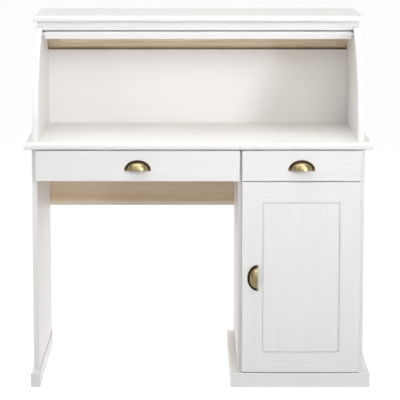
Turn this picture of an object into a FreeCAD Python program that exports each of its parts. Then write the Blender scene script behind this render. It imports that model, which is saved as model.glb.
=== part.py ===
import FreeCAD, Part
import math
import os

# Roll top secretary desk, in millimetres: a leg panel and a cupboard pedestal under a desk top, two
# drawers, a framed door, and a hutch whose roll front runs in circular grooves.
# X runs to the right, Y to the back and Z up. The origin is on the floor under the middle of the desk.
# A depth is measured back from the front edges of the carcass panels.

# Carcass
CARCASS_WIDTH = 1013.0      # outside of the leg panel to outside of the pedestal
CARCASS_DEPTH = 580.0       # upright panels
BACK_OVERHANG = 24.0        # desk top and hutch behind the panels
DESK_HEIGHT = 758.0         # floor to writing surface
PEDESTAL_WIDTH = 384.5      # outside of the pedestal's two panels
PANEL = 16.0                # upright panels and fixed boards
THIN_BACK = 4.0             # hardboard back of the pedestal
RAIL_THICK = 18.0           # back rail across the kneehole
RAIL_HEIGHT = 264.0         # with the lipping
RAIL_LIPPING = 14.0         # painted strip along the rail's lower edge

# Base
BASE_HEIGHT = 44.0
PLINTH_OVERHANG = 22.0      # plinth beyond the pedestal's sides
FOOT_OUT = 8.5              # foot runner beyond the leg panel's outside
FOOT_IN = 3.5               # foot runner beyond the leg panel's inside
FOOT_ROUND = 6.0
PLINTH_ROUND = 2.0

# Desk top
TOP_THICK = 20.0
TOP_OVERHANG = 22.5         # beyond the carcass sides
TOP_LIP = 5.0               # ahead of the drawer fronts
TOP_UPPER_ROUND = 8.0
TOP_LOWER_ROUND = 5.0

# Drawer fronts and door
FRONT = 18.0                # thickness
FRONT_GAP = 3.0             # between a front's back and the panel edges
FRONT_OVERLAY = 4.5         # how far a front covers a panel's edge
FRONT_ROUND = 2.5
DRAWER_FRONT_HEIGHT = 94.0
TOP_REVEAL = 3.0            # between drawer fronts and desk top

# Drawer boxes
DRAWER_BACK_SPACE = 110.0   # behind the boxes
DRAWER_LIFT = 11.0          # box above the front's lower edge
DRAWER_DROP = 13.0          # box below the front's upper edge
DRAWER_SIDE = 12.0
SLIDE_GAP = 2.0             # between drawer side and panel
RUNNER_HEIGHT = 14.0
RUNNER_BITE = 6.0           # runner inside the drawer side's groove
RUNNER_PLAY = 0.6
RUNNER_RISE = 45.0          # runner's top above the box's lower edge
RUNNER_START = 20.0         # depth of the runner's front end
RUNNER_SHORT = 10.0         # runner's back end ahead of the box's
BOTTOM = 4.0                # drawer bottom
BOTTOM_BITE = 5.0           # bottom inside the grooves
BOTTOM_RISE = 8.0           # bottom above the box's lower edge

# Door
STILE = 62.0                # width of stiles and rails
DOOR_TONGUE = 6.0           # thickness of panel tongues and stub tenons
DOOR_GROOVE = 8.0           # depth of the groove round the panel
DOOR_PLAY = 0.5             # tongue to the groove's floor
PANEL_THICK = 14.0
PANEL_SHADOW = 2.0          # open line between panel and frame
PANEL_BEVEL = 2.5
PIVOT_IN = 8.0              # pivot axis from the door's edge
PIVOT_PIN = 5.0             # pin diameter
PIVOT_PIN_LENGTH = 8.0
PIVOT_PLATE = 1.6
PIVOT_CLEAR = 0.45          # plate to door, and plate to drawer front
PIVOT_TAIL = 20.0           # plate from the axis towards the door's middle
PIN_CLEAR = 0.2             # round a pin in its bore
HINGE_ROUND = 3.0           # door's back edge at the pivots
CATCH_LENGTH = 40.0
CATCH_HEIGHT = 12.0
CATCH_DEPTH = 18.0
CATCH_INSET = 12.0          # catch from the inner panel
STRIKE = 1.4
CATCH_CLEAR = 0.3

# Shelf
SHELF_HEIGHT = 330.0        # floor to the shelf's underside
SHELF_SETBACK = 30.0        # behind the panels' front edges
SHELF_BACK_SPACE = 26.0     # ahead of the thin back
SHELF_CLEAR = 0.5
SHELF_PIN = 5.0
SHELF_PIN_OUT = 9.0
SHELF_PIN_IN = 8.0
SHELF_PIN_INSET = 50.0      # pins from the shelf's front and back edges

# Cup pulls
PULL_SPAN = 62.0            # cup across its mouth
PULL_DEPTH = 26.0           # cup out from the front, and up from its mouth
PULL_WALL = 1.6
PULL_FLANGE = 5.0           # flat rim round the cup, and radius of the screw ears
PULL_END = 2.0              # cup's lowest reach at its two ends
DOOR_PULL_INSET = 48.0      # mouth of the door's pull from the door's edge

# Hutch
HUTCH_WIDTH = 1010.0
HUTCH_TOP_CLEAR = 22.5      # top board above the roll front
HUTCH_SIDE = 18.0
HUTCH_TOP_THICK = 18.0
HUTCH_TOP_OVERHANG = 12.0
HUTCH_TOP_LIP = 21.0        # top board ahead of the front rail
HUTCH_TOP_ROUND = 6.0
HUTCH_RAIL_AHEAD = 81.5     # front rail ahead of the track's centre
HUTCH_RAIL_THICK = 12.0
HUTCH_RAIL_CLEAR = 2.7      # front rail above the roll front
HUTCH_BACK = 6.0
HUTCH_BACK_CLEAR = 2.1      # outer back behind the last slat
INNER_BACK_CLEAR = 4.6      # inner back's upper edge inside the straps
INNER_BACK_THICK = 10.0
INNER_BACK_HEIGHT = 240.0

# Roll front: everything in it lies on one circle, seen from the side
TRACK_RADIUS = 289.0        # middle of the groove
TRACK_RISE = 30.5           # circle's centre above the desk top
SIDE_BORDER = 27.0          # hutch side's round front edge outside the groove's middle
GROOVE_DEPTH = 7.0
GROOVE_CLEAR = 0.5          # tongues in the groove
GROOVE_SPARE = 11.0         # groove beyond the last slat
SLAT_COUNT = 10
SLAT_PITCH = 37.8           # along the track
SLAT_THICK = 16.0
SLAT_GAP = 0.6
SLAT_CROWN = 2.5
SLAT_SIDE_CLEAR = 1.5       # slat ends to the hutch sides
TONGUE = 7.0
TONGUE_SHOULDER = 2.0       # tongue narrower than its slat, each edge
TONGUE_END_CLEAR = 1.0      # tongue to the groove's floor
LEAD_WIDTH = 28.0           # lead rail along the track
LEAD_THICK = 24.0
LEAD_SIDE_CLEAR = 6.0       # lead rail ends to the hutch sides
LEAD_ROUND = 4.0
LEAD_ANGLE = 73.7           # lead rail's edge when put away, degrees up from the front
STRAP_THICK = 1.2
STRAP_WIDTH = 32.0
STRAP_INSET = 4.0           # straps from the slats' ends

# Places worked out from the sizes above
PULL_REACH = FRONT_GAP + FRONT + PULL_DEPTH
FACE = -(FRONT_GAP + FRONT)                 # depth of the fronts' faces
HALF = CARCASS_WIDTH / 2
PEDESTAL_X = HALF - PEDESTAL_WIDTH
CUPBOARD_X0 = PEDESTAL_X + PANEL
CUPBOARD_X1 = HALF - PANEL
KNEE_X0 = PANEL - HALF
KNEE_X1 = PEDESTAL_X
DESK_UNDER = DESK_HEIGHT - TOP_THICK
DRAWER_Z1 = DESK_UNDER - TOP_REVEAL
DRAWER_Z0 = DRAWER_Z1 - DRAWER_FRONT_HEIGHT
REVEAL = PIVOT_PLATE + 2 * PIVOT_CLEAR
DOOR_Z0 = BASE_HEIGHT + REVEAL
DOOR_Z1 = DRAWER_Z0 - REVEAL
DOOR_X0 = CUPBOARD_X0 - FRONT_OVERLAY
DOOR_X1 = CUPBOARD_X1 + FRONT_OVERLAY
DIVIDER_TOP = DOOR_Z1 + PIVOT_CLEAR
PIVOT_X = DOOR_X1 - PIVOT_IN
PIVOT_DEPTH = -(FRONT_GAP + FRONT / 2)
BOX_Z0 = DRAWER_Z0 + DRAWER_LIFT
RUNNER_TOP = BOX_Z0 + RUNNER_RISE
HUTCH_INNER = HUTCH_WIDTH / 2 - HUTCH_SIDE
TRACK_Z = DESK_HEIGHT + TRACK_RISE
SLAT_OUTER = TRACK_RADIUS + SLAT_THICK / 2
SLAT_INNER = TRACK_RADIUS - SLAT_THICK / 2
PITCH_ANGLE = SLAT_PITCH / TRACK_RADIUS
LEAD_SPAN = LEAD_WIDTH / TRACK_RADIUS
FIRST_SLAT = math.radians(LEAD_ANGLE) + LEAD_SPAN
LAST_SLAT_END = FIRST_SLAT + SLAT_COUNT * PITCH_ANGLE
HUTCH_END = CARCASS_DEPTH + BACK_OVERHANG
TAIL_REACH = -SLAT_OUTER * math.cos(LAST_SLAT_END)      # last slat behind the track's centre
TRACK_DEPTH = HUTCH_END - HUTCH_BACK - HUTCH_BACK_CLEAR - TAIL_REACH
HUTCH_RAIL_DEPTH = TRACK_DEPTH - HUTCH_RAIL_AHEAD
HUTCH_HEIGHT = TRACK_RISE + SLAT_OUTER + HUTCH_TOP_CLEAR
DRAWER_DEPTH = CARCASS_DEPTH - DRAWER_BACK_SPACE        # carcass front to the back of the boxes
SHELF_END = CARCASS_DEPTH - THIN_BACK - SHELF_BACK_SPACE
FRONT_Y = (PULL_REACH - HUTCH_END) / 2


def point(x, depth, z):
    """Return the point at a place across, a depth and a height."""
    return FreeCAD.Vector(x, FRONT_Y + depth, z)


def board(x0, x1, d0, d1, z0, z1):
    """Return a board between two places across, two depths and two heights."""
    return Part.makeBox(x1 - x0, d1 - d0, z1 - z0, point(x0, d0, z0))


def edges_on(shape, sides):
    """Return the edges that lie on every given side of the shape's box, such as YMin and ZMax."""
    def lies_on(edge, side):
        level = getattr(shape.BoundBox, side)
        ends = [getattr(edge.BoundBox, side[0] + end) for end in ("Min", "Max")]
        return all(abs(end - level) < 0.01 for end in ends)
    return [edge for edge in shape.Edges if all(lies_on(edge, side) for side in sides)]


def rounded(shape, radius, *side_pairs):
    """Round the edges where the given pairs of sides meet."""
    edges = [edge for pair in side_pairs for edge in edges_on(shape, pair)]
    return shape.makeFillet(radius, edges)


def polygon(points):
    """Return the flat face inside a closed run of straight lines."""
    return Part.Face(Part.makePolygon(points + points[:1]))


def on_track(radius, along, angle):
    """Return the point at a radius and a step along the track's tangent, at an angle up from the front."""
    depth = TRACK_DEPTH - radius * math.cos(angle) + along * math.sin(angle)
    return point(0, depth, TRACK_Z + radius * math.sin(angle) + along * math.cos(angle))


def across(face, x0, x1):
    """Return a face in the middle plane drawn out along X between two places."""
    moved = face.translated(FreeCAD.Vector(x0, 0, 0))
    return moved.extrude(FreeCAD.Vector(x1 - x0, 0, 0))


def moulded_board(x0, x1, d0, d1, z0, z1, upper, lower):
    """Return a board with its front and side edges rounded above and below."""
    shape = board(x0, x1, d0, d1, z0, z1)
    shape = rounded(shape, upper, ("YMin", "ZMax"), ("XMin", "ZMax"), ("XMax", "ZMax"))
    return rounded(shape, lower, ("YMin", "ZMin"), ("XMin", "ZMin"), ("XMax", "ZMin"))


def shelf_pin(side_x, inward, depth):
    """Return one shelf pin, from inside a pedestal panel to under the shelf."""
    start = point(side_x - inward * SHELF_PIN_IN, depth, SHELF_HEIGHT - SHELF_PIN / 2)
    direction = FreeCAD.Vector(inward, 0, 0)
    return Part.makeCylinder(SHELF_PIN / 2, SHELF_PIN_IN + SHELF_PIN_OUT, start, direction)


def shelf_pin_depths():
    """Return the depths of the front and the back pair of shelf pins."""
    return (SHELF_SETBACK + SHELF_PIN_INSET, SHELF_END - SHELF_PIN_INSET)


def pedestal_panel(x0, inner_x, inward):
    """Return a pedestal panel with bores for its shelf pins."""
    shape = board(x0, x0 + PANEL, 0, CARCASS_DEPTH, BASE_HEIGHT, DESK_UNDER)
    for depth in shelf_pin_depths():
        start = point(inner_x, depth, SHELF_HEIGHT - SHELF_PIN / 2)
        direction = FreeCAD.Vector(-inward, 0, 0)
        shape = shape.cut(Part.makeCylinder(SHELF_PIN / 2, SHELF_PIN_IN, start, direction))
    return shape


def make_base():
    """Return the foot runner and the four plinth boards."""
    foot = board(-HALF - FOOT_OUT, KNEE_X0 + FOOT_IN, FACE, CARCASS_DEPTH, 0, BASE_HEIGHT)
    foot = rounded(foot, FOOT_ROUND, ("YMin", "ZMax"), ("XMin", "ZMax"))
    x0 = PEDESTAL_X - PLINTH_OVERHANG
    x1 = HALF + PLINTH_OVERHANG
    width = PLINTH_OVERHANG + PANEL
    front_end = FACE + width
    back_start = CARCASS_DEPTH - width
    front = board(x0, x1, FACE, front_end, 0, BASE_HEIGHT)
    front = rounded(front, PLINTH_ROUND, ("YMin", "ZMax"), ("XMin", "ZMax"), ("XMax", "ZMax"))
    left = board(x0, x0 + width, front_end, back_start, 0, BASE_HEIGHT)
    right = board(x1 - width, x1, front_end, back_start, 0, BASE_HEIGHT)
    back = board(x0, x1, back_start, CARCASS_DEPTH, 0, BASE_HEIGHT)
    return {
        "left_foot_runner": foot,
        "plinth_front": front,
        "plinth_left": rounded(left, PLINTH_ROUND, ("XMin", "ZMax")),
        "plinth_right": rounded(right, PLINTH_ROUND, ("XMax", "ZMax")),
        "plinth_back": rounded(back, PLINTH_ROUND, ("XMin", "ZMax"), ("XMax", "ZMax")),
    }


def make_carcass():
    """Return the leg panel, the pedestal, the back rail and the desk top."""
    inside_back = CARCASS_DEPTH - THIN_BACK
    floor_top = BASE_HEIGHT + PANEL
    pins = [shelf_pin(x, inward, depth)
            for x, inward in ((CUPBOARD_X0, 1), (CUPBOARD_X1, -1))
            for depth in shelf_pin_depths()]
    shelf_x = (CUPBOARD_X0 + SHELF_CLEAR, CUPBOARD_X1 - SHELF_CLEAR)
    shelf_top = SHELF_HEIGHT + PANEL
    rail_start = CARCASS_DEPTH - RAIL_THICK
    rail_z0 = DESK_UNDER - RAIL_HEIGHT
    lipping_top = rail_z0 + RAIL_LIPPING
    desk_top = moulded_board(-HALF - TOP_OVERHANG, HALF + TOP_OVERHANG, FACE - TOP_LIP, HUTCH_END,
                             DESK_UNDER, DESK_HEIGHT, TOP_UPPER_ROUND, TOP_LOWER_ROUND)
    return {
        "left_leg_panel": board(-HALF, KNEE_X0, 0, CARCASS_DEPTH, BASE_HEIGHT, DESK_UNDER),
        "pedestal_inner_panel": pedestal_panel(PEDESTAL_X, CUPBOARD_X0, 1),
        "pedestal_outer_panel": pedestal_panel(CUPBOARD_X1, CUPBOARD_X1, -1),
        "pedestal_floor": board(CUPBOARD_X0, CUPBOARD_X1, 0, inside_back, BASE_HEIGHT, floor_top),
        "pedestal_divider": board(CUPBOARD_X0, CUPBOARD_X1, 0, inside_back,
                                  DIVIDER_TOP - PANEL, DIVIDER_TOP),
        "pedestal_back": board(CUPBOARD_X0, CUPBOARD_X1, inside_back, CARCASS_DEPTH,
                               BASE_HEIGHT, DESK_UNDER),
        "pedestal_shelf": board(*shelf_x, SHELF_SETBACK, SHELF_END, SHELF_HEIGHT, shelf_top),
        "shelf_pins": Part.makeCompound(pins),
        "kneehole_back_rail": board(KNEE_X0, KNEE_X1, rail_start, CARCASS_DEPTH, lipping_top, DESK_UNDER),
        "kneehole_rail_lipping": board(KNEE_X0, KNEE_X1, rail_start, CARCASS_DEPTH, rail_z0, lipping_top),
        "desk_top": desk_top,
    }


def cup_pull():
    """Return a cup pull at the origin: mouth down, cup to the front, screw ears at both ends."""
    half = PULL_SPAN / 2
    inner_half = half - PULL_WALL
    inner_depth = PULL_DEPTH - PULL_WALL
    rim_half = half + PULL_FLANGE

    def arch(reach, rise):
        ends = (FreeCAD.Vector(-reach, 0, PULL_END), FreeCAD.Vector(reach, 0, PULL_END))
        return Part.Arc(ends[0], FreeCAD.Vector(0, 0, rise), ends[1]).toShape()

    def between(outer, inner):
        links = [Part.makeLine(outer.Vertexes[i].Point, inner.Vertexes[i].Point) for i in (0, 1)]
        return Part.Face(Part.Wire(Part.__sortEdges__([outer, links[0], inner, links[1]])))

    wall = between(arch(half, PULL_DEPTH), arch(inner_half, inner_depth))
    cup = wall.revolve(FreeCAD.Vector(0, 0, 0), FreeCAD.Vector(1, 0, 0), 90)
    rim = between(arch(rim_half, PULL_DEPTH + PULL_FLANGE), arch(inner_half, inner_depth))
    shape = cup.fuse(rim.extrude(FreeCAD.Vector(0, -PULL_WALL, 0)))
    for side in (-1, 1):
        centre = FreeCAD.Vector(side * rim_half, 0, PULL_END)
        shape = shape.fuse(Part.makeCylinder(PULL_FLANGE, PULL_WALL, centre, FreeCAD.Vector(0, -1, 0)))
    return shape.removeSplitter()


def placed_pull(x, z, turn):
    """Return a cup pull on the fronts' faces, turned about its middle."""
    pull = cup_pull()
    pull.rotate(FreeCAD.Vector(0, 0, 0), FreeCAD.Vector(0, 1, 0), turn)
    return pull.translated(point(x, FACE, z))


def make_drawer(name, x0, x1):
    """Return a drawer's pieces and its two runners, for the opening between two panel faces."""
    box_x0 = x0 + SLIDE_GAP
    box_x1 = x1 - SLIDE_GAP
    inner_x0 = box_x0 + DRAWER_SIDE
    inner_x1 = box_x1 - DRAWER_SIDE
    box_z1 = DRAWER_Z1 - DRAWER_DROP
    bottom_z0 = BOX_Z0 + BOTTOM_RISE
    bottom_z1 = bottom_z0 + BOTTOM
    groove_z0 = RUNNER_TOP - RUNNER_HEIGHT - RUNNER_PLAY
    bottom = board(inner_x0 - BOTTOM_BITE, inner_x1 + BOTTOM_BITE, -FRONT_GAP - BOTTOM_BITE,
                   DRAWER_DEPTH, bottom_z0, bottom_z1)
    front = board(x0 - FRONT_OVERLAY, x1 + FRONT_OVERLAY, FACE, -FRONT_GAP, DRAWER_Z0, DRAWER_Z1)
    face_sides = [("YMin", side) for side in ("ZMin", "ZMax", "XMin", "XMax")]
    front = rounded(front, FRONT_ROUND, *face_sides)

    def side(side_x0, groove_x0):
        shape = board(side_x0, side_x0 + DRAWER_SIDE, -FRONT_GAP, DRAWER_DEPTH, BOX_Z0, box_z1)
        groove = board(groove_x0, groove_x0 + RUNNER_BITE + RUNNER_PLAY, -FRONT_GAP, DRAWER_DEPTH,
                       groove_z0, RUNNER_TOP)
        return shape.cut(groove).cut(bottom)

    def runner(runner_x0):
        return board(runner_x0, runner_x0 + SLIDE_GAP + RUNNER_BITE, RUNNER_START,
                     DRAWER_DEPTH - RUNNER_SHORT, RUNNER_TOP - RUNNER_HEIGHT, RUNNER_TOP)

    return {
        name + "_front": front.cut(bottom),
        name + "_side_left": side(box_x0, box_x0),
        name + "_side_right": side(inner_x1, box_x1 - RUNNER_BITE - RUNNER_PLAY),
        name + "_back": board(inner_x0, inner_x1, DRAWER_DEPTH - DRAWER_SIDE, DRAWER_DEPTH,
                              bottom_z1, box_z1),
        name + "_bottom": bottom,
        name + "_pull": placed_pull((x0 + x1) / 2, (DRAWER_Z0 + DRAWER_Z1 - PULL_DEPTH) / 2, 0),
        name + "_runner_left": runner(x0),
        name + "_runner_right": runner(x1 - SLIDE_GAP - RUNNER_BITE),
    }


def pivot_bore(z, up):
    """Return the bore for a pivot pin, into the door from one of its ends."""
    length = PIVOT_PIN_LENGTH + PIN_CLEAR
    return Part.makeCylinder(PIVOT_PIN / 2 + PIN_CLEAR, length, point(PIVOT_X, PIVOT_DEPTH, z),
                             FreeCAD.Vector(0, 0, up))


def make_pivots():
    """Return the pivot plates: the lower on the plinth, the upper on the divider."""
    x0 = PIVOT_X - PIVOT_TAIL
    lower_top = BASE_HEIGHT + PIVOT_PLATE
    radius = PIVOT_PIN / 2
    lower = board(x0, DOOR_X1, FACE + PLINTH_ROUND, 0, BASE_HEIGHT, lower_top)
    upper = board(x0, CUPBOARD_X1, FACE + PLINTH_ROUND, PIVOT_TAIL, DIVIDER_TOP, DIVIDER_TOP + PIVOT_PLATE)
    lower_pin = Part.makeCylinder(radius, PIVOT_PIN_LENGTH, point(PIVOT_X, PIVOT_DEPTH, lower_top))
    upper_pin = Part.makeCylinder(radius, PIVOT_PIN_LENGTH, point(PIVOT_X, PIVOT_DEPTH, DIVIDER_TOP),
                                  FreeCAD.Vector(0, 0, -1))
    return {"door_pivot_lower": lower.fuse(lower_pin), "door_pivot_upper": upper.fuse(upper_pin)}


def make_door():
    """Return the framed door: grooved stiles, rails with stub tenons, bevelled panel and cup pull."""
    back = -FRONT_GAP
    inner_x0 = DOOR_X0 + STILE
    inner_x1 = DOOR_X1 - STILE
    inner_z0 = DOOR_Z0 + STILE
    inner_z1 = DOOR_Z1 - STILE
    tongue = (PIVOT_DEPTH - DOOR_TONGUE / 2, PIVOT_DEPTH + DOOR_TONGUE / 2)
    groove = board(inner_x0 - DOOR_GROOVE, inner_x1 + DOOR_GROOVE, *tongue,
                   inner_z0 - DOOR_GROOVE, inner_z1 + DOOR_GROOVE)
    long_groove = board(inner_x0 - DOOR_GROOVE, inner_x1 + DOOR_GROOVE, *tongue, DOOR_Z0, DOOR_Z1)
    reach = DOOR_GROOVE - DOOR_PLAY

    def stile(x0, outer_side):
        shape = board(x0, x0 + STILE, FACE, back, DOOR_Z0, DOOR_Z1)
        shape = rounded(shape, FRONT_ROUND, ("YMin", outer_side), ("YMin", "ZMin"), ("YMin", "ZMax"))
        return shape.cut(long_groove)

    def rail(z0, outer_side):
        shape = board(inner_x0, inner_x1, FACE, back, z0, z0 + STILE)
        shape = rounded(shape, FRONT_ROUND, ("YMin", outer_side)).cut(groove)
        tenon = board(inner_x0 - reach, inner_x1 + reach, *tongue, z0, z0 + STILE)
        return shape.fuse(tenon.cut(groove)).removeSplitter()

    panel = board(inner_x0 + PANEL_SHADOW, inner_x1 - PANEL_SHADOW, PIVOT_DEPTH - PANEL_THICK / 2,
                  PIVOT_DEPTH + PANEL_THICK / 2, inner_z0 + PANEL_SHADOW, inner_z1 - PANEL_SHADOW)
    panel = panel.makeChamfer(PANEL_BEVEL, edges_on(panel, ("YMin",)))
    panel = panel.fuse(board(inner_x0 - reach, inner_x1 + reach, *tongue, inner_z0 - reach, inner_z1 + reach))
    hinge_stile = rounded(stile(inner_x1, "XMax"), HINGE_ROUND, ("YMax", "XMax"))
    for z, up in ((DOOR_Z0, 1), (DOOR_Z1, -1)):
        hinge_stile = hinge_stile.cut(pivot_bore(z, up))
    catch_x0 = CUPBOARD_X0 + CATCH_INSET
    catch_x1 = catch_x0 + CATCH_LENGTH
    catch_z1 = DIVIDER_TOP - PANEL
    catch_z0 = catch_z1 - CATCH_HEIGHT
    strike_face = back + STRIKE
    return {
        "door_hinge_stile": hinge_stile,
        "door_latch_stile": stile(DOOR_X0, "XMin"),
        "door_top_rail": rail(inner_z1, "ZMax"),
        "door_bottom_rail": rail(DOOR_Z0, "ZMin"),
        "door_panel": panel.removeSplitter(),
        "door_pull": placed_pull(DOOR_X0 + DOOR_PULL_INSET, (DOOR_Z0 + DOOR_Z1) / 2, -90),
        "door_strike": board(catch_x0, catch_x1, back, strike_face, catch_z0, catch_z1),
        "door_catch": board(catch_x0, catch_x1, strike_face + CATCH_CLEAR, CATCH_DEPTH, catch_z0, catch_z1),
    }


def tongue_half():
    """Return half the width of a slat's tongue along the track."""
    return SLAT_PITCH / 2 - TONGUE_SHOULDER


def track_groove():
    """Return the ring sector that the tongues run in, as a face seen from the side."""
    inner = TRACK_RADIUS - TONGUE / 2 - GROOVE_CLEAR
    outer = math.hypot(TRACK_RADIUS + TONGUE / 2, tongue_half()) + GROOVE_CLEAR
    start = -2 * math.asin(TRACK_RISE / inner)
    end = LAST_SLAT_END + GROOVE_SPARE / TRACK_RADIUS
    middle = (start + end) / 2
    arcs = [Part.Arc(*[on_track(radius, 0, angle) for angle in (start, middle, end)]).toShape()
            for radius in (inner, outer)]
    links = [Part.makeLine(on_track(inner, 0, angle), on_track(outer, 0, angle)) for angle in (start, end)]
    return Part.Face(Part.Wire(Part.__sortEdges__(arcs + links)))


def side_outline():
    """Return a hutch side seen from the side: upright foot, round front edge, upright under the top."""
    radius = TRACK_RADIUS + SIDE_BORDER
    top_angle = math.acos((TRACK_DEPTH - HUTCH_RAIL_DEPTH) / radius)
    arc = Part.Arc(*[on_track(radius, 0, angle) for angle in (0, top_angle / 2, top_angle)]).toShape()
    front = TRACK_DEPTH - radius
    top = DESK_HEIGHT + HUTCH_HEIGHT
    corners = [on_track(radius, 0, top_angle), point(0, HUTCH_RAIL_DEPTH, top), point(0, HUTCH_END, top),
               point(0, HUTCH_END, DESK_HEIGHT), point(0, front, DESK_HEIGHT), on_track(radius, 0, 0)]
    lines = [Part.makeLine(a, b) for a, b in zip(corners, corners[1:])]
    return Part.Face(Part.Wire(Part.__sortEdges__([arc] + lines)))


def make_hutch():
    """Return the hutch: grooved sides, moulded top, front rail and the two backs."""
    outer = HUTCH_WIDTH / 2
    top = DESK_HEIGHT + HUTCH_HEIGHT
    outline = side_outline()
    groove = across(track_groove(), -HUTCH_INNER - GROOVE_DEPTH, HUTCH_INNER + GROOVE_DEPTH)
    top_half = outer + HUTCH_TOP_OVERHANG
    top_board = moulded_board(-top_half, top_half, HUTCH_RAIL_DEPTH - HUTCH_TOP_LIP, HUTCH_END,
                              top, top + HUTCH_TOP_THICK, HUTCH_TOP_ROUND, HUTCH_TOP_ROUND)
    rail_back = HUTCH_RAIL_DEPTH + HUTCH_RAIL_THICK
    rail_z0 = TRACK_Z + math.sqrt(SLAT_OUTER ** 2 - (TRACK_DEPTH - rail_back) ** 2) + HUTCH_RAIL_CLEAR
    edge_radius = SLAT_INNER - STRAP_THICK - INNER_BACK_CLEAR
    edge_rise = INNER_BACK_HEIGHT - TRACK_RISE
    inner_back_end = TRACK_DEPTH + math.sqrt(edge_radius ** 2 - edge_rise ** 2)
    return {
        "hutch_left_side": across(outline, -outer, -HUTCH_INNER).cut(groove),
        "hutch_right_side": across(outline, HUTCH_INNER, outer).cut(groove),
        "hutch_top": top_board,
        "hutch_front_rail": board(-HUTCH_INNER, HUTCH_INNER, HUTCH_RAIL_DEPTH, rail_back, rail_z0, top),
        "hutch_inner_back": board(-HUTCH_INNER, HUTCH_INNER,
                                  inner_back_end - INNER_BACK_THICK, inner_back_end,
                                  DESK_HEIGHT, DESK_HEIGHT + INNER_BACK_HEIGHT),
        "hutch_back": board(-HUTCH_INNER, HUTCH_INNER, HUTCH_END - HUTCH_BACK, HUTCH_END, DESK_HEIGHT, top),
    }


def with_tongues(body, half_width, angle):
    """Return a slat or lead rail with the flat tongues that run in the grooves."""
    radii = (TRACK_RADIUS - TONGUE / 2, TRACK_RADIUS + TONGUE / 2)
    corners = [on_track(radii[0], -half_width, angle), on_track(radii[0], half_width, angle),
               on_track(radii[1], half_width, angle), on_track(radii[1], -half_width, angle)]
    end = HUTCH_INNER + GROOVE_DEPTH - TONGUE_END_CLEAR
    return body.fuse(across(polygon(corners), -end, end)).removeSplitter()


def make_slat(angle):
    """Return one slat: flat inside, crowned outside, edges along the radius."""
    half = PITCH_ANGLE / 2 - SLAT_GAP / 2 / TRACK_RADIUS
    inner = SLAT_INNER / math.cos(half)
    shoulder = SLAT_OUTER - SLAT_CROWN
    corners = [on_track(shoulder, 0, angle - half), on_track(inner, 0, angle - half),
               on_track(inner, 0, angle + half), on_track(shoulder, 0, angle + half)]
    crown = Part.Arc(corners[3], on_track(SLAT_OUTER, 0, angle), corners[0]).toShape()
    lines = [Part.makeLine(a, b) for a, b in zip(corners, corners[1:])]
    section = Part.Face(Part.Wire(Part.__sortEdges__(lines + [crown])))
    end = HUTCH_INNER - SLAT_SIDE_CLEAR
    return with_tongues(across(section, -end, end), tongue_half(), angle)


def make_lead_rail():
    """Return the lead rail: a thick rail with round corners, flush outside with the slats."""
    angle = math.radians(LEAD_ANGLE) + LEAD_SPAN / 2
    inner = SLAT_OUTER - LEAD_THICK
    half = (LEAD_WIDTH - SLAT_GAP) / 2 * inner / TRACK_RADIUS
    corners = [on_track(radius, along, angle)
               for radius, along in ((inner, -half), (inner, half), (SLAT_OUTER, half), (SLAT_OUTER, -half))]
    end = HUTCH_INNER - LEAD_SIDE_CLEAR
    body = across(polygon(corners), -end, end)
    lengthwise = [edge for edge in body.Edges if edge.Length > end]
    return with_tongues(body.makeFillet(LEAD_ROUND, lengthwise), half - TONGUE_SHOULDER, angle)


def make_strap(side):
    """Return the canvas strap near one end of the slats, flat against the inside of each in turn."""
    joints = [FIRST_SLAT + index * PITCH_ANGLE for index in range(SLAT_COUNT + 1)]
    outer = SLAT_INNER / math.cos(PITCH_ANGLE / 2)
    inner = (SLAT_INNER - STRAP_THICK) / math.cos(PITCH_ANGLE / 2)
    points = [on_track(outer, 0, angle) for angle in joints]
    points += [on_track(inner, 0, angle) for angle in reversed(joints)]
    outer_x = HUTCH_INNER - SLAT_SIDE_CLEAR - STRAP_INSET
    return across(polygon(points), side * outer_x, side * (outer_x - STRAP_WIDTH))


def make_tambour():
    """Return the roll front, put away above and behind the writing surface."""
    pieces = {"tambour_lead_rail": make_lead_rail()}
    for index in range(SLAT_COUNT):
        angle = FIRST_SLAT + (index + 0.5) * PITCH_ANGLE
        pieces["tambour_slat_%02d" % (index + 1)] = make_slat(angle)
    pieces["tambour_straps"] = Part.makeCompound([make_strap(side) for side in (-1, 1)])
    return pieces


def main():
    """Make every piece and write each to its own file."""
    pieces = {}
    pieces.update(make_base())
    pieces.update(make_carcass())
    pieces.update(make_drawer("wide_drawer", KNEE_X0, KNEE_X1))
    pieces.update(make_drawer("narrow_drawer", CUPBOARD_X0, CUPBOARD_X1))
    pieces.update(make_pivots())
    pieces.update(make_door())
    pieces.update(make_hutch())
    pieces.update(make_tambour())
    os.makedirs("parts", exist_ok=True)
    for name, shape in pieces.items():
        shape.exportStep("parts/" + name + ".step")
        print(name, "valid" if shape.isValid() else "INVALID", len(shape.Solids), "solids")


main()
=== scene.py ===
"""Dresses the roll top secretary desk: finishes for its boards, brass pulls, small fixings and a studio."""
import logging
import math
from dataclasses import dataclass
from enum import Enum
from typing import ClassVar

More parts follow.
